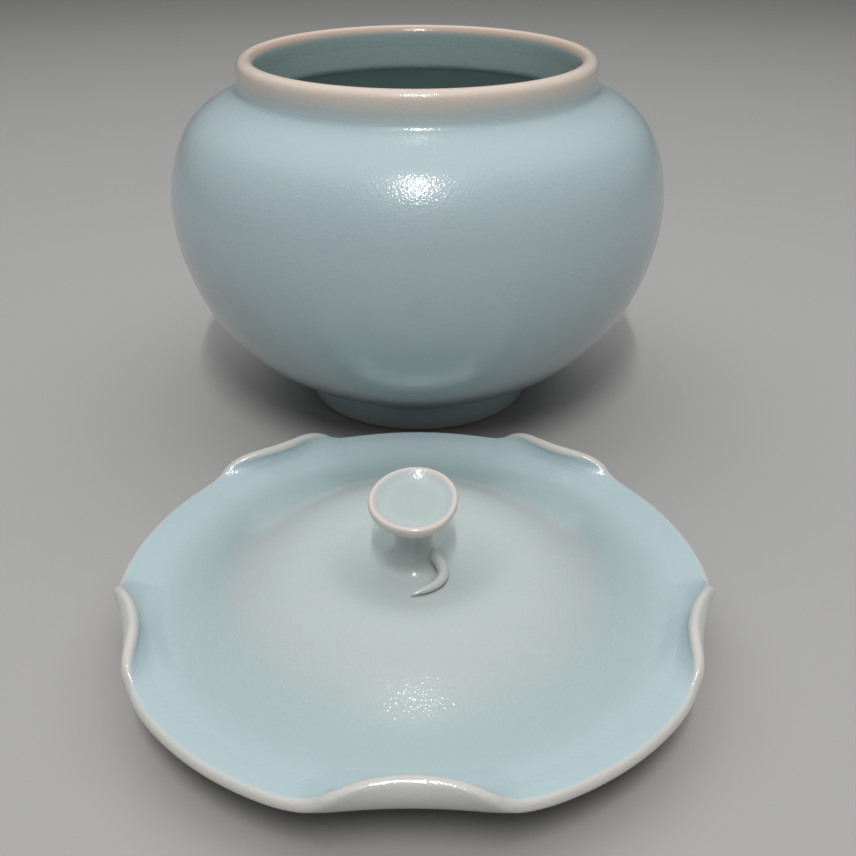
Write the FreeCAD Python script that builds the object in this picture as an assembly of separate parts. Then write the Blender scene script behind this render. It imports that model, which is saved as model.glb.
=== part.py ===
import FreeCAD, Part
import math
import os

from FreeCAD import Vector

# Porcelain go stone bowl with a lotus-leaf lid.
# Millimetres, +Z up. The origin is the centre of the foot, on the table.
# The bowl stands at the origin. The lid lies in front of it (towards -Y), right way up on its
# locating ring. Every clay piece that is joined on is a solid of its own.

# ---- driving dimensions: bowl ----
HEIGHT = 101.0
BELLY_D = 142.0
BELLY_Z = 59.5
# the wall's outside from foot to shoulder: (out from the belly's radius, up from the belly)
FLANK = [(-12.2, -34.0), (-3.2, -17.0), (0.0, 0.0), (-2.5, 16.3), (-8.0, 25.3), (-14.0, 29.6)]
MOUTH_D = 90.0
LIP_D = 100.0
LIP_H = 6.2
NECK_WALL_H = 0.5
NECK_FILLET = 3.6
NECK_TURN_DEG = 71.0
THROAT_H = 4.8
FOOT_D = 68.0
CREASE_D = 71.6
FOOT_H = 8.5
FOOT_BORE_D = 57.0
FOOT_RECESS = 6.0
WALL = 4.2
# where along the outside the wall's thickness is set off
WALL_AT = (0.12, 0.26, 0.42, 0.58, 0.72, 0.84, 0.92, 0.98)
FLOOR = 5.0
EDGE_R = 0.8

# ---- driving dimensions: lid ----
LID_D = 130.0
FOLDS = 5
FIRST_FOLD_DEG = 54.0
FOLD_HALF_DEG = 14.5
LEAF_HALF_T = 2.1
BRIM_HALF_T = 1.6
BRIM_TIP = 1.4 * BRIM_HALF_T
RING_D = 88.4
RING_WALL = 3.6
RING_DEPTH = 7.0
RING_TENON = 1.6
TENON_TAPER = 0.7
PLUG_D = 14.0
PLUG_LOW = 6.3
PLUG_TOP = 10.5
STALK_D = 8.0
STALK_EXTRA = 2.0
DISH_D = 19.0
DISH_ROOT_D = 11.2
DISH_Z = 22.6
DISH_H = 5.2
DISH_DEEP = 1.9
DISH_RIM_W = 1.7
DISH_RIM_H = 0.9
DISH_TILT_DEG = 12.0
CURL_D = 2.6
CURL_TAPER = 0.45
CURL_BUD_R = 0.94
CURL_PATH = [(2.6, -0.6, 14.0), (5.6, -3.4, 12.6), (6.2, -7.4, 12.3), (4.0, -10.8, 12.5), (0.8, -12.2, 12.8)]

# ---- where the lid lies: its seat plane over the table, and its axis in front of the bowl ----
LID_AT = Vector(0, -120.5, RING_DEPTH)

ORIGIN = Vector(0, 0, 0)
AXIS = Vector(0, 0, 1)


def point(r, z):
    """A point of a profile in the XZ plane."""
    return Vector(r, 0, z)


def line(a, b):
    return Part.LineSegment(a, b).toShape()


def arc(a, middle, b):
    return Part.Arc(a, middle, b).toShape()


def spline(points, start=None, end=None):
    """A smooth curve through the points, with its end directions if they are given."""
    curve = Part.BSplineCurve()
    if start is None:
        curve.interpolate(points)
    else:
        curve.interpolate(Points=points, InitialTangent=start, FinalTangent=end)
    return curve


def turned(edges):
    """The solid of revolution of a closed profile about the Z axis."""
    face = Part.Face(Part.Wire(Part.__sortEdges__(edges)))
    return face.revolve(ORIGIN, AXIS, 360)


# ---- bowl ----
NECK_Z = HEIGHT - LIP_H
FILLET_Z = NECK_Z - NECK_WALL_H
THROAT_Z = NECK_Z - THROAT_H


def neck_point(degrees):
    """A point of the hollow fillet between shoulder and neck, by how far the wall has yet to turn."""
    turn = math.pi + math.radians(degrees)
    return point(LIP_D / 2 + NECK_FILLET * (1 + math.cos(turn)), FILLET_Z + NECK_FILLET * math.sin(turn))


def outer_wall():
    """Outside of the thrown body, from the crease over the foot to the foot of the neck."""
    belly = BELLY_D / 2
    points = [point(CREASE_D / 2, FOOT_H)]
    points += [point(belly + out, BELLY_Z + up) for out, up in FLANK]
    points.append(neck_point(NECK_TURN_DEG))
    shoulder_turn = math.radians(NECK_TURN_DEG)
    return spline(points, Vector(1, 0, 0.52), Vector(-math.sin(shoulder_turn), 0, math.cos(shoulder_turn)))


def inner_wall():
    """Inside of the body: the outside moved in by the wall, from the floor to the throat."""
    outside = outer_wall()
    first, last = outside.FirstParameter, outside.LastParameter
    points = []
    for share in WALL_AT:
        at = first + share * (last - first)
        along = outside.tangent(at)[0]
        inward = Vector(-along.z, 0, along.x)
        points.append(outside.value(at) + inward * WALL)
    floor_start = point(0, FOOT_RECESS + FLOOR)
    turn = point(MOUTH_D / 2 + 0.3 * WALL, THROAT_Z - 0.5 * WALL)
    throat = point(MOUTH_D / 2, THROAT_Z)
    return spline([floor_start] + points + [turn, throat], Vector(1, 0, 0), Vector(0, 0, 1))


def bowl_body():
    """Thrown wall, floor and neck, and the spigot that the foot ring is luted round."""
    outside = outer_wall()
    inside = inner_wall()
    crease = outside.value(outside.FirstParameter)
    shoulder = outside.value(outside.LastParameter)
    fillet_top = neck_point(0)
    neck = point(LIP_D / 2, NECK_Z)
    mouth = point(MOUTH_D / 2, NECK_Z)
    spigot = FOOT_BORE_D / 2
    floor_mid = point(0, FOOT_RECESS)
    return turned([
        outside.toShape(),
        arc(shoulder, neck_point(NECK_TURN_DEG / 2), fillet_top),
        line(fillet_top, neck),
        line(neck, mouth),
        line(mouth, point(MOUTH_D / 2, THROAT_Z)),
        inside.toShape(),
        line(point(0, FOOT_RECESS + FLOOR), floor_mid),
        line(floor_mid, point(spigot, FOOT_RECESS)),
        line(point(spigot, FOOT_RECESS), point(spigot, FOOT_H)),
        line(point(spigot, FOOT_H), crease),
    ])


def mouth_lip():
    """Thick rounded lip on the neck; its bore and the neck's are one."""
    inner, outer = MOUTH_D / 2, LIP_D / 2
    round_r = (outer - inner) / 2
    shoulder_z = HEIGHT - round_r
    return turned([
        line(point(inner, NECK_Z), point(outer, NECK_Z)),
        line(point(outer, NECK_Z), point(outer, shoulder_z)),
        arc(point(outer, shoulder_z), point(inner + round_r, HEIGHT), point(inner, shoulder_z)),
        line(point(inner, shoulder_z), point(inner, NECK_Z)),
    ])


def foot_ring():
    """Foot ring: it tapers to a flat bare edge with both corners eased."""
    inner, outer = FOOT_BORE_D / 2, FOOT_D / 2
    ease = EDGE_R * (1 - math.cos(math.radians(45)))
    return turned([
        line(point(inner + EDGE_R, 0), point(outer - EDGE_R, 0)),
        arc(point(outer - EDGE_R, 0), point(outer - ease, ease), point(outer, EDGE_R)),
        line(point(outer, EDGE_R), point(CREASE_D / 2, FOOT_H)),
        line(point(CREASE_D / 2, FOOT_H), point(inner, FOOT_H)),
        line(point(inner, FOOT_H), point(inner, EDGE_R)),
        arc(point(inner, EDGE_R), point(inner + ease, ease), point(inner + EDGE_R, 0)),
    ])


# ---- lid leaf: middle line of its section, (radius, height over the seat plane) ----
DOME = [(4.5, 8.3), (8, 8.4), (13, 9.1), (19, 10.6), (24, 10.9), (30, 9.4), (36, 6.6), (42, 3.8), (47, 2.4)]
BRIM_OPEN = [(51.0, 2.1), (55.0, 2.4), (59.0, 3.2), (62.0, 4.2), (63.9, 5.3)]
BRIM_FOLDED = [(51.0, 2.1), (55.5, 2.6), (59.2, 5.0), (59.9, 8.8), (57.2, 12.1)]
AROUND = 90


def fold_share(degrees):
    """How far the brim is pinched up at an azimuth: 0 between the folds, 1 at a fold's middle."""
    pitch = 360.0 / FOLDS
    away = (degrees - FIRST_FOLD_DEG + pitch / 2) % pitch - pitch / 2
    if abs(away) >= FOLD_HALF_DEG:
        return 0.0
    return math.cos(math.pi / 2 * away / FOLD_HALF_DEG) ** 0.8


def leaf_section(degrees):
    """Closed loop of (radius, height) round the leaf's thickness at an azimuth."""
    share = fold_share(degrees)
    scale = LID_D / 130.0
    middle = list(DOME)
    for flat, folded in zip(BRIM_OPEN, BRIM_FOLDED):
        middle.append(tuple(a + share * (b - a) for a, b in zip(flat, folded)))
    middle = [(r * scale, z) for r, z in middle]
    top, bottom = [], []
    for i, (r, z) in enumerate(middle):
        before, after = middle[max(i - 1, 0)], middle[min(i + 1, len(middle) - 1)]
        dr, dz = after[0] - before[0], after[1] - before[1]
        length = math.hypot(dr, dz)
        out = (i / (len(middle) - 1)) ** 3
        half = LEAF_HALF_T + out * (BRIM_HALF_T - LEAF_HALF_T)
        nr, nz = -dz / length * half, dr / length * half
        top.append((r + nr, z + nz))
        bottom.append((r - nr, z - nz))
    (r, z), (r0, z0) = middle[-1], middle[-2]
    length = math.hypot(r - r0, z - z0)
    tip = (r + (r - r0) / length * BRIM_TIP, z + (z - z0) / length * BRIM_TIP)
    return top + [tip] + bottom[::-1]


def leaf_skin():
    """The leaf's whole surface, closed both round the axis and round its thickness."""
    rows = []
    for i in range(AROUND):
        degrees = 360.0 * i / AROUND
        turn = math.radians(degrees)
        rows.append([Vector(r * math.cos(turn), r * math.sin(turn), z) for r, z in leaf_section(degrees)])
    count = len(rows[0])
    surface = Part.BSplineSurface()
    surface.buildFromPolesMultsKnots(
        rows, [1] * (AROUND + 1), [1] * (count + 1),
        [float(k) for k in range(AROUND + 1)], [float(k) for k in range(count + 1)],
        True, True, 3, 3)
    return surface


def lid_leaf():
    """Lotus leaf: low dome with a raised crest ring, a trough, and a brim pinched up at the folds."""
    solid = Part.Solid(Part.Shell([Part.Face(leaf_skin())]))
    if solid.Volume < 0:
        solid.reverse()
    plug_hole = Part.makeCylinder(PLUG_D / 2, 2 * PLUG_TOP, ORIGIN, AXIS)
    return solid.cut(plug_hole).cut(lid_locating_ring())


def lid_locating_ring():
    """Ring under the leaf that drops into the mouth, let into the leaf by a short tenon."""
    outer = RING_D / 2
    inner = outer - RING_WALL
    return turned([
        line(point(inner + EDGE_R, -RING_DEPTH), point(outer - EDGE_R, -RING_DEPTH)),
        line(point(outer - EDGE_R, -RING_DEPTH), point(outer, EDGE_R - RING_DEPTH)),
        line(point(outer, EDGE_R - RING_DEPTH), point(outer, 0)),
        line(point(outer, 0), point(outer - TENON_TAPER, RING_TENON)),
        line(point(outer - TENON_TAPER, RING_TENON), point(inner, RING_TENON)),
        line(point(inner, RING_TENON), point(inner, EDGE_R - RING_DEPTH)),
        line(point(inner, EDGE_R - RING_DEPTH), point(inner + EDGE_R, -RING_DEPTH)),
    ])


def leaned(shape):
    """The shape tipped towards -Y about the top of the stalk, as the dish sits."""
    return shape.rotated(Vector(0, 0, DISH_Z), Vector(1, 0, 0), DISH_TILT_DEG)


def knob_stalk():
    """Stalk with the root plug that closes the middle of the leaf; its top is cut to the dish's lean."""
    plug, stalk, flare = PLUG_D / 2, STALK_D / 2, DISH_ROOT_D / 2
    high = DISH_Z + STALK_EXTRA
    grow = (PLUG_D - STALK_D) / 6
    side = [point(plug, PLUG_TOP), point(stalk + grow, PLUG_TOP + grow), point(stalk, PLUG_TOP + 5 * grow),
            point(stalk + 0.3 * grow, DISH_Z - 2.6 * grow), point(flare, high)]
    column = turned([
        line(point(0, PLUG_LOW), point(plug, PLUG_LOW)),
        line(point(plug, PLUG_LOW), point(plug, PLUG_TOP)),
        spline(side).toShape(),
        line(point(flare, high), point(0, high)),
        line(point(0, high), point(0, PLUG_LOW)),
    ])
    above = leaned(Part.makeBox(2 * DISH_D, 2 * DISH_D, DISH_D, Vector(-DISH_D, -DISH_D, DISH_Z)))
    return column.cut(above)


def knob_dish():
    """Small round dish on top of the stalk, hollowed on its top side."""
    outer, root = DISH_D / 2, DISH_ROOT_D / 2
    rim_z = DISH_Z + DISH_H
    hollow_z = rim_z - DISH_DEEP
    rim_out = point(outer, rim_z - DISH_RIM_H)
    rim_top = point(outer - DISH_RIM_W / 2, rim_z)
    rim_in = point(outer - DISH_RIM_W, rim_z - DISH_RIM_H / 2)
    return leaned(turned([
        line(point(0, DISH_Z), point(root, DISH_Z)),
        spline([point(root, DISH_Z), point((root + 2 * outer) / 3, DISH_Z + DISH_H / 3), rim_out]).toShape(),
        arc(rim_out, rim_top, rim_in),
        spline([rim_in, point((root + outer) / 2 - DISH_RIM_W, hollow_z + DISH_RIM_H / 2),
                point(0, hollow_z)]).toShape(),
        line(point(0, hollow_z), point(0, DISH_Z)),
    ]))


def stem_curl():
    """Tapering tail of the stalk that lies on the leaf in a hook, with a small bud at its tip."""
    path = spline([Vector(*spot) for spot in CURL_PATH])
    sections = 9
    wires = []
    first, last = path.FirstParameter, path.LastParameter
    for i in range(sections):
        share = i / (sections - 1)
        at = first + share * (last - first)
        radius = CURL_D / 2 * (1.0 - CURL_TAPER * share)
        circle = Part.Circle(path.value(at), path.tangent(at)[0], radius)
        wires.append(Part.Wire(circle.toShape()))
    tail = Part.makeLoft(wires, True, False)
    bud = Part.makeSphere(CURL_BUD_R, path.value(last))
    return tail.fuse(bud).cut(lid_leaf()).cut(knob_stalk())


BOWL = {"bowl_body": bowl_body, "mouth_lip": mouth_lip, "foot_ring": foot_ring}
LID = {"lid_leaf": lid_leaf, "lid_locating_ring": lid_locating_ring, "knob_stalk": knob_stalk,
       "knob_dish": knob_dish, "stem_curl": stem_curl}


def main():
    os.makedirs("parts", exist_ok=True)
    for name, make in list(BOWL.items()) + list(LID.items()):
        shape = make()
        if name in LID:
            shape.translate(LID_AT)
        shape = shape.Solids[0] if len(shape.Solids) == 1 else shape
        box = shape.BoundBox
        print(f"{name}: {len(shape.Solids)} solid, valid {shape.isValid()}, volume {shape.Volume:.0f} mm3, "
              f"x {box.XMin:.2f}..{box.XMax:.2f}, y {box.YMin:.2f}..{box.YMax:.2f}, "
              f"z {box.ZMin:.2f}..{box.ZMax:.2f}")
        shape.exportStep(f"parts/{name}.step")


main()
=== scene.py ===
import bmesh
import bpy
import math
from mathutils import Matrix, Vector


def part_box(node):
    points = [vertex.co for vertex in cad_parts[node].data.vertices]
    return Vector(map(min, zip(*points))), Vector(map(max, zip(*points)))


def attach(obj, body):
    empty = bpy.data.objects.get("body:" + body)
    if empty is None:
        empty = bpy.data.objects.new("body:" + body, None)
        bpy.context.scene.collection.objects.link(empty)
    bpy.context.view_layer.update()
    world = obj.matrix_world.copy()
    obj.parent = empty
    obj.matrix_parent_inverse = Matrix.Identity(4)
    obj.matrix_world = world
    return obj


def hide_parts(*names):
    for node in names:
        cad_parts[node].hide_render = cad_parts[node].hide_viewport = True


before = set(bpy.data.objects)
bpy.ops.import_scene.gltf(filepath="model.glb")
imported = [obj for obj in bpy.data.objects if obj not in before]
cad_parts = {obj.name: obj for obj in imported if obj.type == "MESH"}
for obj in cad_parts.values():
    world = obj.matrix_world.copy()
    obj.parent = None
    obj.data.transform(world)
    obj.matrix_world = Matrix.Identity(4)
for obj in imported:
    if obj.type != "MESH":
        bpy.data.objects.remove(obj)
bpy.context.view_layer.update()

# Go stone bowl: a wide-mouthed porcelain jar and its lotus-leaf lid, in pale celadon glaze.
# Lengths are metres; a value written with MM is that many millimetres.

MM = 0.001


# ---------------------------------------------------------------- measures, read from the frame

def middle(node):
    """The middle of a CAD node's box."""
    low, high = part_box(node)
    return (low + high) / 2


def wall_radii(node, heights):
    """The inner and outer radius of a round CAD node at each height, about the Z axis."""
    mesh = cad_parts[node].data
    corners = [v.co for v in mesh.vertices]
    found = [[] for _ in heights]
    for edge in mesh.edges:
        a, b = (corners[i] for i in edge.vertices)
        low, high = min(a.z, b.z), max(a.z, b.z)
        for crossings, z in zip(found, heights):
            if low <= z < high:
                at = a.lerp(b, (z - a.z) / (b.z - a.z))
                crossings.append(math.hypot(at.x, at.y))
    return [(min(radii), max(radii)) for radii in found]


FOOT_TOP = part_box("foot_ring")[1].z
FLOOR_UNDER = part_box("bowl_body")[0].z
FLOOR_THICK = 5 * MM
FLOOR_TOP = FLOOR_UNDER + FLOOR_THICK
NECK_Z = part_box("mouth_lip")[0].z
LIP_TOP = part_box("mouth_lip")[1].z
LIP_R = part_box("mouth_lip")[1].x
LIP_UPRIGHT = NECK_Z + 3 * MM
MOUTH_R = wall_radii("mouth_lip", [LIP_UPRIGHT])[0][0]
LIP_MID_R = (MOUTH_R + LIP_R) / 2
ABOVE_FOOT_EDGE = 1.5 * MM
FOOT_BORE_R, FOOT_R = wall_radii("foot_ring", [ABOVE_FOOT_EDGE])[0]
CREASE_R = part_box("foot_ring")[1].x

LID_AT = middle("lid_locating_ring")
RING_R = (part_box("lid_locating_ring")[1].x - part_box("lid_locating_ring")[0].x) / 2
RING_DEPTH = 7 * MM
RING_WALL = 3.6 * MM
SEAT_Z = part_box("lid_locating_ring")[0].z + RING_DEPTH
LEAF_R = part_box("lid_leaf")[1].x
DISH_R = 9.5 * MM
DISH_Z = SEAT_Z + 22.6 * MM
DISH_LEAN = math.radians(12)

# How many steps each piece is turned in.
BOWL_STEPS = 128
RING_STEPS = 112
DISH_STEPS = 56
STALK_STEPS = 40

# The wall's end runs on inside the lip and the lip's end inside the wall, a hair under the skin, so that
# no line shows at the joint. Past that, both draw in by the deeper figure.
TUCK = 0.015 * MM
DEEP_TUCK = 20 * TUCK


# ---------------------------------------------------------------- the maker's hands

def take(piece):
    """Makes one piece the only one selected, and the active one."""
    bpy.ops.object.select_all(action="DESELECT")
    piece.select_set(True)
    bpy.context.view_layer.objects.active = piece


def edit(piece):
    """Opens one piece for shaping, with nothing selected."""
    take(piece)
    bpy.ops.object.mode_set(mode="EDIT")
    bpy.ops.mesh.select_mode(type="VERT")
    bpy.ops.mesh.select_all(action="DESELECT")


def leave():
    """Closes the piece that is open for shaping."""
    bpy.ops.object.mode_set(mode="OBJECT")


def pick(piece, chosen):
    """Selects the shown vertices that pass the test."""
    mesh = bmesh.from_edit_mesh(piece.data)
    for vertex in mesh.verts:
        vertex.select_set(not vertex.hide and chosen(vertex))
    mesh.select_flush_mode()
    bmesh.update_edit_mesh(piece.data)


def finish_with(piece, kind, **settings):
    """Adds one modifier and applies it."""
    modifier = piece.modifiers.new(kind.lower(), kind)
    for name, value in settings.items():
        setattr(modifier, name, value)
    take(piece)
    bpy.ops.object.modifier_apply(modifier=modifier.name)


def settle(piece):
    """Puts the object at the origin, with its place in its mesh, and shades it smooth."""
    take(piece)
    bpy.ops.object.transform_apply(location=True, rotation=True, scale=True)
    bpy.ops.object.shade_smooth()


def thrown(name, outline, steps):
    """A round piece about the Z axis: its outline of (radius, height) is drawn, then turned once.

    An outline that starts and ends on the axis is left open there, and a ring's is closed.
    """
    bpy.ops.object.select_all(action="DESELECT")
    bpy.ops.mesh.primitive_plane_add(size=MM, location=(0, 0, 0))
    piece = bpy.context.object
    piece.name = name
    piece.data.name = name
    edit(piece)
    bpy.ops.mesh.select_all(action="SELECT")
    bpy.ops.mesh.merge(type="CENTER")
    here = Vector((0, 0, 0))
    for i, (radius, height) in enumerate(outline):
        there = Vector((radius, 0, height))
        step = {"value": there - here}
        if i == 0:
            bpy.ops.transform.translate(**step)
        else:
            bpy.ops.mesh.extrude_region_move(TRANSFORM_OT_translate=step)
        here = there
    if outline[0][0] > 0 or outline[-1][0] > 0:
        start = Vector((outline[0][0], 0, outline[0][1]))
        bpy.ops.mesh.extrude_region_move(TRANSFORM_OT_translate={"value": start - here})
    bpy.ops.mesh.select_all(action="SELECT")
    bpy.ops.mesh.spin(steps=steps, angle=2 * math.pi, center=(0, 0, 0), axis=(0, 0, 1))
    bpy.ops.mesh.select_all(action="SELECT")
    bpy.ops.mesh.remove_doubles(threshold=0.005 * MM)
    bpy.ops.mesh.normals_make_consistent(inside=False)
    leave()
    finish_with(piece, "SUBSURF", levels=1, render_levels=1)
    settle(piece)
    return piece


def moved(piece, offset):
    """Moves a piece's mesh by an offset."""
    edit(piece)
    bpy.ops.mesh.select_all(action="SELECT")
    bpy.ops.transform.translate(value=offset)
    leave()
    return piece


def rise(value, low, high):
    """0 below low, 1 above high, and smooth between."""
    t = min(max((value - low) / (high - low), 0.0), 1.0)
    return t * t * (3 - 2 * t)


def paint(piece, **layers):
    """Stores how thin, pooled or bare the glaze is at each vertex, from a rule for each."""
    for name, rule in layers.items():
        layer = piece.data.attributes.new(name, "FLOAT", "POINT")
        for vertex, spot in zip(piece.data.vertices, layer.data):
            spot.value = min(max(rule(vertex), 0.0), 1.0)


# ---------------------------------------------------------------- bowl

# Where the wall's section is taken. The shares run up the outside from the crease to the shoulder, and
# down the inside from the throat to the floor. The others are millimetres below the neck.
SHOULDER_BELOW = 12
CREASE_SHARES = (0.004, 0.02, 0.05, 0.09, 0.13)
FLANK_PARTS = 18
FILLET_BELOW = (10, 8.3, 6.9, 5.8, 4.9, 4.1, 3.5, 3.0, 2.6, 2.2, 1.7, 1.2, 0.7, 0.2)
THROAT_BELOW = (0.2, 1.5, 3.2, 4.2, 5.0, 5.7, 6.3, 6.9, 7.6, 8.6, 10.2, 12.5)
INSIDE_SHARES = (0.05, 0.11, 0.18, 0.26, 0.35, 0.44, 0.53, 0.62, 0.7, 0.77, 0.83, 0.88, 0.92, 0.955, 0.985)


def bowl_wall():
    """Thrown body: outside from the crease to the neck, over the neck, and down the inside."""
    climb = NECK_Z - SHOULDER_BELOW * MM - FOOT_TOP
    flank = CREASE_SHARES[-1]
    shares = CREASE_SHARES + tuple(flank + (1 - flank) * i / FLANK_PARTS for i in range(1, FLANK_PARTS + 1))
    outer_z = [FOOT_TOP + share * climb for share in shares]
    outer_z += [NECK_Z - below * MM for below in FILLET_BELOW]
    outside = [(radii[1], z) for radii, z in zip(wall_radii("bowl_body", outer_z), outer_z)]
    outside += [(LIP_R - TUCK, NECK_Z + 0.7 * MM), (LIP_R - DEEP_TUCK, NECK_Z + 1 * MM)]
    inner_z = [NECK_Z - below * MM for below in THROAT_BELOW]
    drop = inner_z[-1] - FLOOR_TOP
    inner_z += [inner_z[-1] - drop * share for share in INSIDE_SHARES]
    inside = [(MOUTH_R + DEEP_TUCK, NECK_Z + 1 * MM), (MOUTH_R + TUCK, NECK_Z + 0.7 * MM)]
    inside += [(radii[0], z) for radii, z in zip(wall_radii("bowl_body", inner_z), inner_z)]
    floor = [(0.55 * inside[-1][0], FLOOR_TOP + 0.1 * MM), (0, FLOOR_TOP)]
    spigot = FOOT_BORE_R
    under = [(0, FLOOR_UNDER), (0.5 * spigot, FLOOR_UNDER), (spigot - 0.6 * MM, FLOOR_UNDER),
             (spigot - 0.1 * MM, FLOOR_UNDER + 0.1 * MM), (spigot - 0.1 * MM, FOOT_TOP),
             (CREASE_R - 0.5 * MM, FOOT_TOP)]
    return thrown("bowl_wall", under + outside + inside + floor, BOWL_STEPS)


def lip_roll():
    """Thick rounded lip over the neck."""
    half = (LIP_R - MOUTH_R) / 2
    round_z = LIP_TOP - half
    halfway = (NECK_Z + round_z) / 2
    parts = 8
    outline = [(MOUTH_R + TUCK, NECK_Z - 0.6 * MM), (MOUTH_R, NECK_Z + 0.4 * MM), (MOUTH_R, halfway)]
    for i in range(parts + 1):
        turn = math.pi * (1 - i / parts)
        outline.append((MOUTH_R + half + half * math.cos(turn), round_z + half * math.sin(turn)))
    outline += [(LIP_R, halfway), (LIP_R, NECK_Z + 0.4 * MM), (LIP_R - 4 * TUCK, NECK_Z - 0.5 * MM),
                (LIP_R - DEEP_TUCK, NECK_Z - 0.8 * MM), (MOUTH_R + DEEP_TUCK, NECK_Z - 0.8 * MM)]
    return thrown("lip_roll", outline, BOWL_STEPS)


def foot_rim():
    """Foot ring with a narrow standing edge, and a crease where the bowl starts."""
    inner, outer, top = FOOT_BORE_R, FOOT_R, FOOT_TOP
    soft = 0.5 * MM
    outline = [(inner, top - 0.05 * MM), (inner, top / 2), (inner, 2 * soft),
               (inner + 0.25 * soft, 0.9 * soft), (inner + soft, 0.15 * soft), (inner + 2.4 * soft, 0),
               (outer - 2.4 * soft, 0), (outer - soft, 0.15 * soft), (outer - 0.25 * soft, 0.9 * soft),
               (outer, 2 * soft), (0.5 * (outer + CREASE_R), top / 2), (CREASE_R - 0.12 * MM, top - 1 * MM),
               (CREASE_R, top - 0.15 * MM), (CREASE_R - 0.4 * MM, top), (inner + 0.4 * MM, top)]
    return thrown("foot_rim", outline, BOWL_STEPS)


# ---------------------------------------------------------------- lid

# Middle of the leaf's section: (radius, height over the seat) in millimetres, from the edge in to the stalk.
BRIM = [(64.0, 5.3), (63.2, 4.8), (62.2, 4.3), (61.0, 3.85), (59.6, 3.4), (58.0, 2.95), (56.0, 2.55),
        (54.0, 2.3), (51.5, 2.12)]
DOME = [(49.0, 2.2), (46.5, 2.5), (43.5, 3.3), (40.0, 4.8), (36.0, 6.9), (32.0, 8.8), (28.0, 10.2),
        (24.0, 10.95), (20.0, 10.75), (16.0, 9.8), (12.0, 8.9), (8.0, 8.45), (5.0, 8.35)]
# How far the finished leaf reaches when its section is drawn in full millimetres.
DRAWN_REACH = 65.1
COLUMNS = 430
LEAF_THICK = 4.1 * MM
# The edge keeps this share of the thickness, and the leaf is at its full thickness from this ring inwards.
EDGE_SHARE = 0.4
FULL_RING = 4

FOLD_COUNT = 5
FIRST_FOLD = 54.0
# Each fold rolls about this many rings of the brim in turn, from the inmost out. Its reach along the brim
# is in millimetres, and the roll at each ring in degrees.
HINGES = 6
FOLD_REACH = [15.4, 15.9, 15.2, 16.0, 15.5]
FOLD_CURL = [18.2, 18.0, 18.8, 17.8, 18.4]
# The inner rings fade out further along the brim and more gently, so that a fold ends without a crease.
SOFT_ENDS = {6: ("SMOOTH", 1.6), 5: ("SMOOTH", 1.5), 4: ("INVERSE_SQUARE", 1.15), 3: ("INVERSE_SQUARE", 1.08)}
PLAIN_END = ("SPHERE", 1.0)
# The last push lifts the fold's outer rings and moves them out.
PUSH = (0.5 * MM, 0, 1.6 * MM)
PUSH_RINGS = HINGES - 2
PUSH_WIDER = 1.15


def leaf_blank():
    """The plain leaf before it is folded: one sheet, drawn in from the edge ring by ring."""
    edge_r, edge_z = BRIM[0]
    scale = LEAF_R / (DRAWN_REACH * MM)
    bpy.ops.object.select_all(action="DESELECT")
    bpy.ops.mesh.primitive_circle_add(vertices=COLUMNS, radius=edge_r * MM * scale, location=(0, 0, 0))
    leaf = bpy.context.object
    leaf.name = "lotus_leaf"
    leaf.data.name = "lotus_leaf"
    edit(leaf)
    bpy.ops.mesh.select_all(action="SELECT")
    bpy.ops.transform.translate(value=(0, 0, edge_z * MM))
    before = BRIM[0]
    for radius, height in BRIM[1:] + DOME:
        step = {"value": (0, 0, (height - before[1]) * MM)}
        bpy.ops.mesh.extrude_region_move(TRANSFORM_OT_translate=step)
        shrink = radius / before[0]
        bpy.ops.transform.resize(value=(shrink, shrink, 1), center_override=(0, 0, 0))
        before = (radius, height)
    bpy.ops.mesh.select_all(action="SELECT")
    bpy.ops.mesh.normals_make_consistent(inside=False)
    leave()
    return leaf


def pinch(leaf, rings, column, reach, curl):
    """Rolls the brim up and in at the +X side, hinge by hinge, by a thumb as wide as reach."""
    edit(leaf)
    for hinge in range(HINGES, 0, -1):
        mesh = bmesh.from_edit_mesh(leaf.data)
        mesh.verts.ensure_lookup_table()
        pivot = mesh.verts[column[hinge]].co.copy()
        pick(leaf, lambda vertex: rings[vertex.index] >= hinge)
        bpy.ops.mesh.hide(unselected=False)
        raised = set(column[:hinge])
        pick(leaf, lambda vertex: vertex.index in raised)
        falloff, wider = SOFT_ENDS.get(hinge, PLAIN_END)
        bpy.ops.transform.rotate(
            value=math.radians(curl), orient_axis="Y", orient_type="GLOBAL", center_override=pivot,
            use_proportional_edit=True, proportional_edit_falloff=falloff, proportional_size=reach * wider)
        bpy.ops.mesh.reveal(select=False)
    pick(leaf, lambda vertex: rings[vertex.index] > HINGES)
    bpy.ops.mesh.hide(unselected=False)
    raised = set(column[:PUSH_RINGS])
    pick(leaf, lambda vertex: vertex.index in raised)
    bpy.ops.transform.translate(
        value=PUSH, use_proportional_edit=True, proportional_edit_falloff="INVERSE_SQUARE",
        proportional_size=PUSH_WIDER * reach)
    bpy.ops.mesh.reveal(select=False)
    leave()


def turned_by(piece, degrees):
    """Turns a piece about the Z axis, anticlockwise seen from above."""
    edit(piece)
    bpy.ops.mesh.select_all(action="SELECT")
    bpy.ops.transform.rotate(value=-math.radians(degrees), orient_axis="Z", orient_type="GLOBAL",
                             center_override=(0, 0, 0))
    leave()


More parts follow.
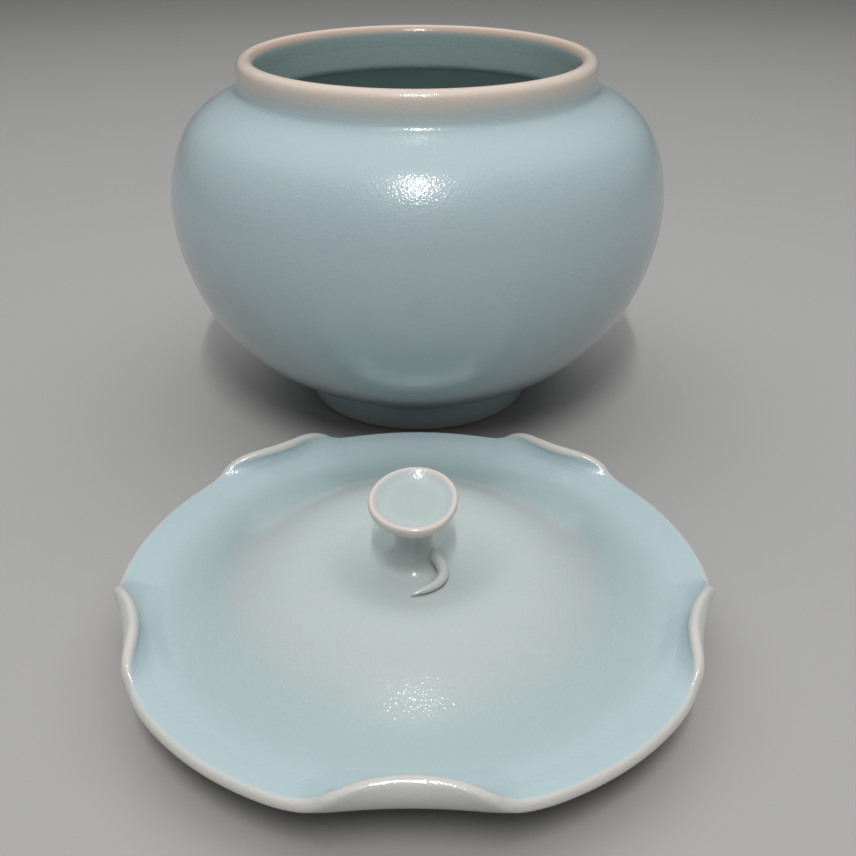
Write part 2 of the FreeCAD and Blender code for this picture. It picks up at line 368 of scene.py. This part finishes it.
def lotus_leaf():
    """The lid's leaf: low dome, trough, and a brim pinched up in five folds."""
    leaf = leaf_blank()
    radii = [radius * MM for radius, _ in BRIM + DOME]
    flat = [math.hypot(v.co.x, v.co.y) for v in leaf.data.vertices]
    rings = [min(range(len(radii)), key=lambda k: abs(radii[k] - r)) for r in flat]

    def angles():
        return [math.atan2(v.co.y, v.co.x) for v in leaf.data.vertices]

    def facing(ring):
        """The vertex of a ring that lies nearest the +X side."""
        around = angles()
        return min((i for i, k in enumerate(rings) if k == ring), key=lambda i: abs(around[i]))

    turned_by(leaf, -FIRST_FOLD)
    for reach, curl in zip(FOLD_REACH, FOLD_CURL):
        turned_by(leaf, -math.degrees(angles()[facing(0)]))
        column = [facing(ring) for ring in range(HINGES + 1)]
        pinch(leaf, rings, column, reach * MM, curl)
        turned_by(leaf, -360 / FOLD_COUNT)
    turned_by(leaf, FIRST_FOLD)
    for group in ("edge", "back", "core"):
        leaf.vertex_groups.new(name=group)
    core = leaf.vertex_groups["core"]
    for vertex in leaf.data.vertices:
        share = EDGE_SHARE + (1 - EDGE_SHARE) * rise(rings[vertex.index], -1, FULL_RING)
        core.add([vertex.index], share, "REPLACE")
    finish_with(leaf, "SOLIDIFY", thickness=LEAF_THICK, offset=0, use_even_offset=True, vertex_group="core",
                rim_vertex_group="edge", shell_vertex_group="back")
    finish_with(leaf, "SUBSURF", levels=1, render_levels=1)
    settle(leaf)
    return moved(leaf, (LID_AT.x, LID_AT.y, SEAT_Z))


def locating_ring():
    """Plain ring under the leaf, with its lower corners eased."""
    inner, low, high = RING_R - RING_WALL, -RING_DEPTH, 1.6 * MM
    ease = 0.8 * MM
    outline = [(inner, high), (inner, low + 2 * ease), (inner, low + ease),
               (inner + 0.3 * ease, low + 0.3 * ease), (inner + ease, low), (RING_R - ease, low),
               (RING_R - 0.3 * ease, low + 0.3 * ease), (RING_R, low + ease), (RING_R, low + 2 * ease),
               (RING_R, high), (RING_R - 0.2 * MM, high + 0.1 * MM), (inner + 0.2 * MM, high + 0.1 * MM)]
    return moved(thrown("seat_ring", outline, RING_STEPS), (LID_AT.x, LID_AT.y, SEAT_Z))


def leaned(piece):
    """Tips a piece towards the front about the top of the stalk."""
    edit(piece)
    bpy.ops.mesh.select_all(action="SELECT")
    bpy.ops.transform.rotate(value=-DISH_LEAN, orient_axis="X", orient_type="GLOBAL",
                             center_override=(LID_AT.x, LID_AT.y, DISH_Z))
    leave()
    return piece


# Outline of the stalk in millimetres, from the root up: (radius, height over the seat).
STALK = [(0, 6.4), (3.5, 6.4), (6.6, 6.4), (7.0, 6.7), (7.6, 8.8), (8.3, 10.2), (7.3, 10.5), (6.4, 10.75),
         (5.6, 11.2), (4.9, 12.0), (4.4, 13.4), (4.1, 15.5), (4.05, 18.0), (4.3, 20.3), (4.9, 21.9),
         (5.6, 22.9), (4.6, 23.2), (2.0, 23.3), (0, 23.3)]


def bud_stalk():
    """Short stalk, swelling into the leaf below and under the dish above."""
    piece = thrown("bud_stalk", [(r * MM, z * MM) for r, z in STALK], STALK_STEPS)
    return moved(piece, (LID_AT.x, LID_AT.y, SEAT_Z))


# Outline of the dish in millimetres, from the middle of its underside round to the middle of its hollow:
# (radius, height over the stalk's top).
DISH = [(0, -0.2), (3.0, -0.2), (5.2, 0.0), (7.2, 0.9), (8.7, 2.2), (9.35, 3.5), (9.5, 4.4), (9.25, 5.0),
        (8.75, 5.2), (8.2, 5.0), (7.6, 4.5), (6.6, 3.9), (5.0, 3.5), (2.6, 3.3), (0, 3.25)]
DRAWN_DISH_R = 9.5
# Where fingers pressed the dish: (azimuth in degrees, how far out, how far up), in millimetres.
DISH_DENTS = [(200, 0.3, -0.25), (128, -0.45, 0.2), (58, 0.3, -0.1), (350, -0.35, 0.15), (285, 0.25, 0.0)]


def bud_dish():
    """Small dish on the stalk: rounded rim, hollow on top."""
    piece = thrown("bud_dish", [(r * DISH_R / DRAWN_DISH_R, z * MM) for r, z in DISH], DISH_STEPS)
    for degrees, out, up in DISH_DENTS:
        way = Vector((math.cos(math.radians(degrees)), math.sin(math.radians(degrees)), 0))
        nearest = min(piece.data.vertices, key=lambda v: (v.co - way * DISH_R).length).index
        edit(piece)
        pick(piece, lambda vertex: vertex.index == nearest)
        press = way * out * MM + Vector((0, 0, up * MM))
        bpy.ops.transform.translate(value=press, use_proportional_edit=True,
                                    proportional_edit_falloff="SMOOTH", proportional_size=DISH_R)
        leave()
    return leaned(moved(piece, (LID_AT.x, LID_AT.y, DISH_Z)))


# The tail's middle line, from the stalk out, in millimetres: (x, y, height over the seat, thickness).
TENDRIL = [(2.2, -0.4, 14.6, 1.3), (4.2, -1.7, 13.2, 1.35), (5.7, -3.6, 12.35, 1.35), (6.3, -6.0, 12.0, 1.25),
           (5.6, -8.6, 11.9, 1.1), (3.9, -10.7, 11.95, 0.95), (1.9, -12.0, 12.05, 0.75),
           (0.6, -12.7, 12.0, 0.5), (-0.5, -13.1, 11.7, 0.15)]


def tendril():
    """Tapering tail of the stalk, laid on the leaf in a hook and pressed down at its tip."""
    bpy.ops.object.select_all(action="DESELECT")
    line = bpy.data.curves.new("tendril", "CURVE")
    line.dimensions = "3D"
    line.bevel_depth = MM
    line.bevel_resolution = 5
    line.resolution_u = 6
    line.use_fill_caps = True
    spline = line.splines.new("NURBS")
    spline.points.add(len(TENDRIL) - 1)
    for spot, (x, y, z, thick) in zip(spline.points, TENDRIL):
        spot.co = (LID_AT.x + x * MM, LID_AT.y + y * MM, SEAT_Z + z * MM, 1)
        spot.radius = thick
    spline.order_u = 4
    spline.use_endpoint_u = True
    piece = bpy.data.objects.new("tendril", line)
    bpy.context.scene.collection.objects.link(piece)
    take(piece)
    bpy.ops.object.convert(target="MESH")
    piece = bpy.context.object
    edit(piece)
    bpy.ops.mesh.select_all(action="SELECT")
    bpy.ops.mesh.remove_doubles(threshold=0.01 * MM)
    bpy.ops.mesh.normals_make_consistent(inside=False)
    leave()
    settle(piece)
    return piece


# ---------------------------------------------------------------- glaze and clay

CELADON = (0.415, 0.53, 0.57)
CELADON_DRIFT = (0.435, 0.54, 0.555)
CLOUDED = (0.49, 0.59, 0.60)
# Pooled glaze and painted shade: the darker green that the pool layer mixes in.
POOLED_AND_SHADED = (0.265, 0.36, 0.33)
RUN_THIN = (0.72, 0.60, 0.51)
BARE_CLAY = (0.52, 0.39, 0.31)
CLOUD_SHARE = 0.3
POOL_AND_SHADE_SHARE = 0.75
GLAZE_ROUGHNESS = (0.34, 0.44)
CLAY_ROUGHNESS = 0.8
COAT_ROUGHNESS = 0.12
PEEL_STRENGTH = 0.8
PEEL_DEPTH = 0.14 * MM


def glaze(name):
    """Satin celadon: darker and greener where it pools and where shade is painted, pale and warm where it
    runs thin.

    Where it was wiped off, the clay is bare.
    """
    material = bpy.data.materials.new(name)
    material.use_nodes = True
    nodes, links = material.node_tree.nodes, material.node_tree.links
    shader = nodes["Principled BSDF"]
    place = nodes.new("ShaderNodeTexCoord")

    def noise(scale, detail, roughness=0.5):
        node = nodes.new("ShaderNodeTexNoise")
        node.inputs["Scale"].default_value = scale
        node.inputs["Detail"].default_value = detail
        node.inputs["Roughness"].default_value = roughness
        links.new(place.outputs["Object"], node.inputs["Vector"])
        return node.outputs["Fac"]

    def layer(attribute):
        node = nodes.new("ShaderNodeAttribute")
        node.attribute_name = attribute
        return node.outputs["Fac"]

    def spread(value, low, high):
        node = nodes.new("ShaderNodeMapRange")
        node.inputs["To Min"].default_value = low
        node.inputs["To Max"].default_value = high
        links.new(value, node.inputs["Value"])
        return node.outputs["Result"]

    def maths(kind, a, b):
        node = nodes.new("ShaderNodeMath")
        node.operation = kind
        node.use_clamp = True
        for socket, value in zip(node.inputs, (a, b)):
            if isinstance(value, (int, float)):
                socket.default_value = value
            else:
                links.new(value, socket)
        return node.outputs["Value"]

    def mix(share, a, b):
        node = nodes.new("ShaderNodeMix")
        node.data_type = "RGBA"
        links.new(share, node.inputs["Factor"])
        sockets = [s for s in node.inputs if s.type == "RGBA"]
        for socket, value in zip(sockets, (a, b)):
            if isinstance(value, tuple):
                socket.default_value = value + (1,)
            else:
                links.new(value, socket)
        return [s for s in node.outputs if s.type == "RGBA"][0]

    thin, pool, bare = layer("thin"), layer("pool"), layer("bare")
    drift = spread(noise(16, 3), 0, 1)
    cloud = noise(90, 4, 0.6)
    tint = mix(drift, CELADON, CELADON_DRIFT)
    tint = mix(spread(cloud, 0, CLOUD_SHARE), tint, CLOUDED)
    # Pooled glaze and painted shade: the pool layer darkens the bowl's inside, its lower outside, the foot's
    # crease, the lid's dome and trough, and the dish's hollow.
    tint = mix(maths("MULTIPLY", pool, POOL_AND_SHADE_SHARE), tint, POOLED_AND_SHADED)
    edge = maths("MULTIPLY", thin, spread(noise(260, 3), 0.75, 1.15))
    tint = mix(edge, tint, RUN_THIN)
    tint = mix(bare, tint, BARE_CLAY)
    links.new(tint, shader.inputs["Base Color"])
    satin = spread(noise(700, 2), *GLAZE_ROUGHNESS)
    rough = nodes.new("ShaderNodeMix")
    links.new(bare, rough.inputs[0])
    links.new(satin, rough.inputs[2])
    rough.inputs[3].default_value = CLAY_ROUGHNESS
    links.new(rough.outputs[0], shader.inputs["Roughness"])
    shader.inputs["Coat Weight"].default_value = 1.0
    shader.inputs["Coat Roughness"].default_value = COAT_ROUGHNESS

    peel = maths("ADD", maths("MULTIPLY", noise(1600, 1), 0.65), maths("MULTIPLY", noise(700, 1), 0.35))
    bump = nodes.new("ShaderNodeBump")
    bump.inputs["Strength"].default_value = PEEL_STRENGTH
    bump.inputs["Distance"].default_value = PEEL_DEPTH
    links.new(peel, bump.inputs["Height"])
    links.new(bump.outputs["Normal"], shader.inputs["Normal"])
    links.new(bump.outputs["Normal"], shader.inputs["Coat Normal"])
    return material


def floor_finish():
    """Plain pale studio paper."""
    material = bpy.data.materials.new("studio_floor")
    material.use_nodes = True
    shader = material.node_tree.nodes["Principled BSDF"]
    shader.inputs["Base Color"].default_value = (0.38, 0.37, 0.36, 1)
    shader.inputs["Roughness"].default_value = 0.75
    return material


# ---------------------------------------------------------------- studio

CAMERA_AT = (2.9 * MM, -300.5 * MM, 153.4 * MM)
CAMERA_TILT = math.radians(60.23)
LENS, SENSOR = 43.74, 36
LOOK_AT = (0, -0.05, 0.05)


def lamp(name, place, wide, long, power, colour=(1, 1, 1)):
    """A lamp with an oval face, turned to the middle of the scene."""
    data = bpy.data.lights.new(name, "AREA")
    data.shape = "ELLIPSE"
    data.size, data.size_y = wide, long
    data.energy = power
    data.color = colour
    light = bpy.data.objects.new(name, data)
    light.location = place
    light.rotation_euler = (Vector(LOOK_AT) - Vector(place)).to_track_quat("-Z", "Y").to_euler()
    bpy.context.scene.collection.objects.link(light)
    return light


def studio():
    """Pale floor, one long narrow lamp, a broad soft fill with no mirror image, and the camera."""
    bpy.ops.object.select_all(action="DESELECT")
    bpy.ops.mesh.primitive_plane_add(size=6, location=(0, 0, 0))
    floor = bpy.context.object
    floor.name = "studio_floor"
    floor.data.materials.append(floor_finish())

    lamp("lamp_overhead", (0.0, -0.60, 0.92), wide=0.025, long=0.5, power=5.0)
    fill = lamp("softbox_above", (0.0, 0.12, 0.78), wide=1.7, long=1.2, power=7.1, colour=(0.97, 0.99, 1.0))
    fill.visible_glossy = False
    fill.visible_camera = False
    world = bpy.data.worlds.new("studio_air")
    world.use_nodes = True
    air = world.node_tree.nodes["Background"]
    air.inputs["Color"].default_value = (0.86, 0.88, 0.90, 1)
    air.inputs["Strength"].default_value = 0.16
    bpy.context.scene.world = world
    bpy.context.scene.view_settings.view_transform = "Standard"

    data = bpy.data.cameras.new("camera")
    data.lens = LENS
    data.sensor_width = SENSOR
    camera = bpy.data.objects.new("camera", data)
    camera.location = CAMERA_AT
    camera.rotation_euler = (CAMERA_TILT, 0, 0)
    bpy.context.scene.collection.objects.link(camera)
    bpy.context.scene.camera = camera


# --------------------------------------------------------------- where the glaze thins, pools or is wiped off, and where shade is painted

def radius_of(vertex):
    """How far a vertex is from the bowl's axis."""
    return math.hypot(vertex.co.x, vertex.co.y)


def lid_radius(vertex):
    """How far a vertex is from the lid's axis."""
    return math.hypot(vertex.co.x - LID_AT.x, vertex.co.y - LID_AT.y)


def weight(piece, group):
    """A rule that reads a vertex group's weight."""
    index = piece.vertex_groups[group].index

    def rule(vertex):
        return sum(g.weight for g in vertex.groups if g.group == index)
    return rule


def all_over(share):
    """A rule that gives the same share everywhere."""
    return lambda vertex: share


def glaze_bowl(wall, lip, foot):
    """The glaze thins over the lip and is wiped off the foot's standing edge; painted shade darkens the
    inside, the outside towards the foot, and the foot's top by the crease.
    """
    neck_thins = 0.36

    def lip_thin(vertex):
        if radius_of(vertex) < LIP_MID_R:
            return rise(vertex.co.z, LIP_TOP - 1.5 * MM, LIP_TOP - 0.3 * MM)
        neck = rise(vertex.co.z, NECK_Z - 2.6 * MM, NECK_Z + 1.4 * MM)
        roll = rise(vertex.co.z, LIP_TOP - 5.6 * MM, LIP_TOP - 2 * MM)
        return neck_thins * neck + (1 - neck_thins) * roll

    def lip_brown(vertex):
        """A brown line just inside the lip's top."""
        if radius_of(vertex) > LIP_MID_R:
            return 0.0
        return rise(vertex.co.z, LIP_TOP - 2.4 * MM, LIP_TOP - 1.6 * MM) * (
            1 - rise(vertex.co.z, LIP_TOP - 0.7 * MM, LIP_TOP - 0.1 * MM))

    # Painted shade inside the lip, below its top.
    def lip_pool(vertex):
        if radius_of(vertex) > LIP_MID_R:
            return 0.0
        return 0.9 * (1 - rise(vertex.co.z, LIP_TOP - 1.8 * MM, LIP_TOP - 1 * MM))

    # Painted shade: the whole inside, and the outside darker towards the bottom.
    def wall_pool(vertex):
        in_mouth = radius_of(vertex) < MOUTH_R + 0.1 * MM
        if in_mouth or vertex.normal.to_2d().dot(vertex.co.to_2d()) < 0:
            return 0.9
        return 0.5 * (1 - rise(vertex.co.z, FOOT_TOP, 52 * MM))

    paint(wall, thin=lip_thin, bare=all_over(0), pool=wall_pool)
    paint(lip, thin=lip_thin, bare=lip_brown, pool=lip_pool)
    # The foot's pool layer is painted shade, darker up towards the crease under the belly.
    paint(foot, thin=lambda v: 0.5 * (1 - rise(v.co.z, 0.8 * MM, 2.4 * MM)),
          bare=lambda v: 1 - rise(v.co.z, 0.5 * MM, 0.9 * MM),
          pool=lambda v: 0.7 * rise(v.co.z, 4 * MM, FOOT_TOP))


def glaze_lid(leaf, ring, stalk, dish, tail):
    """The glaze thins over the brim's edge and the dish's rim, and is wiped off the ring; painted shade
    darkens the dome, deepest in the trough, and the dish's hollow.
    """
    edge, back = weight(leaf, "edge"), weight(leaf, "back")

    def leaf_thin(vertex):
        out = lid_radius(vertex)
        brim = max(0.6 * edge(vertex), 0.5 * (1 - back(vertex))) * rise(out, 52 * MM, 57 * MM)
        return brim + 0.25 * (1 - rise(out, 34 * MM, 48 * MM))

    # Painted shade over the dome, deepest in the trough, none on the brim.
    def leaf_pool(vertex):
        out = lid_radius(vertex)
        return (0.36 + 0.1 * rise(out, 37 * MM, 48 * MM)) * (1 - rise(out, 49 * MM, 58 * MM))

    top = Vector((LID_AT.x, LID_AT.y, DISH_Z))
    up = Vector((0, -math.sin(DISH_LEAN), math.cos(DISH_LEAN)))

    def off_axis(vertex):
        """How far a vertex is from the leaning dish's own axis."""
        arm = vertex.co - top
        return (arm - up * arm.dot(up)).length

    paint(leaf, bare=all_over(0), thin=leaf_thin, pool=leaf_pool)
    paint(ring, thin=all_over(0.4), bare=lambda v: 1 - rise(v.co.z, SEAT_Z - 3 * MM, SEAT_Z - 2 * MM),
          pool=all_over(0))
    # The stalk takes the dome's painted shade.
    paint(stalk, thin=all_over(0.25), bare=all_over(0), pool=all_over(0.36))
    # The dish's hollow is darkened with painted shade.
    paint(dish, bare=all_over(0), thin=lambda v: 0.2 + 0.6 * rise(off_axis(v), 7.2 * MM, 9.0 * MM),
          pool=lambda v: 0.6 * (1 - rise(off_axis(v), 4 * MM, 8 * MM)))
    paint(tail, thin=all_over(0.45), bare=all_over(0), pool=all_over(0))


# ---------------------------------------------------------------- putting it together

def build():
    """Makes every piece, glazes it, and puts it on its body in place of its CAD node."""
    celadon = glaze("celadon_glaze")
    wall, lip, foot = bowl_wall(), lip_roll(), foot_rim()
    leaf, ring, stalk, dish, tail = lotus_leaf(), locating_ring(), bud_stalk(), bud_dish(), tendril()
    glaze_bowl(wall, lip, foot)
    glaze_lid(leaf, ring, stalk, dish, tail)

    for piece, body, node, finish in (
            (wall, "bowl", "bowl_body", "glaze"),
            (lip, "bowl", "mouth_lip", "lip_glaze"),
            (foot, "bowl", "foot_ring", "glaze"),
            (leaf, "lid", "lid_leaf", "glaze"),
            (ring, "lid", "lid_locating_ring", "bare_clay"),
            (stalk, "lid", "knob_stalk", "glaze"),
            (dish, "lid", "knob_dish", "glaze"),
            (tail, "lid", "stem_curl", "glaze")):
        piece.data.materials.clear()
        piece.data.materials.append(celadon)
        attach(piece, body)
        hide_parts(node)


build()
studio()
